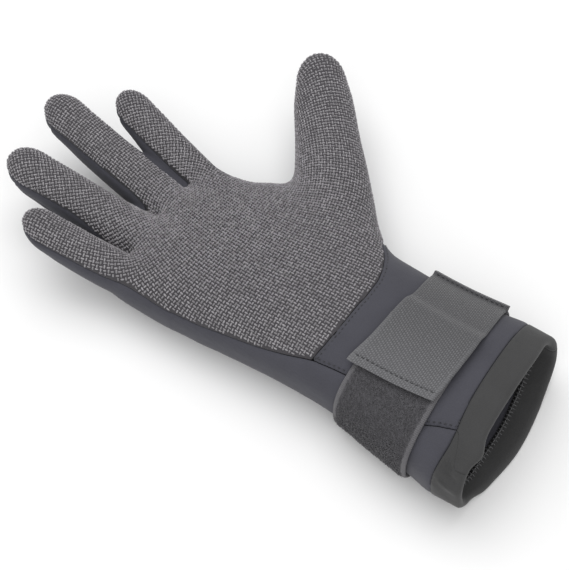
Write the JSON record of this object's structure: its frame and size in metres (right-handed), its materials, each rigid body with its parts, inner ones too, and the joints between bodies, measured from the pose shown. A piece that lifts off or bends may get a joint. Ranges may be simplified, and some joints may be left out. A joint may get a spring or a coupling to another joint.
{
  "type": "diving glove",
  "caption": "Right-hand diving glove of thin foam rubber cloth with a woven grip palm, side strips between the fingers, a turned-in hem and a wrist closing strap.",
  "frame": {"origin": "on the surface it lies on, under the middle of the whole glove", "axes": "+Y from the cuff to the fingertips, +X towards the thumb, +Z out of the palm, which faces up"},
  "size_m": [0.1794, 0.2998, 0.0537],
  "materials": {
    "palm_fabric": "light grey yarn floats woven on a dark ground, rough",
    "foam_cloth": "fine matte knit face on foam rubber",
    "hem_cloth": "fine matte knit face on foam rubber",
    "webbing": "close plain weave, slightly shiny",
    "loop_tape": "soft looped pile, matte"
  },
  "bodies": {
    "root": {"palm_panel": "palm_fabric", "wrist_panel": "foam_cloth", "back_panel": "foam_cloth", "fourchette_index_middle": "foam_cloth", "fourchette_middle_ring": "foam_cloth", "fourchette_ring_little": "foam_cloth", "hem_palm_side": "hem_cloth", "hem_back_side": "hem_cloth", "strap_webbing": "webbing", "strap_loop_tape": "loop_tape"}
  },
  "joints": []
}
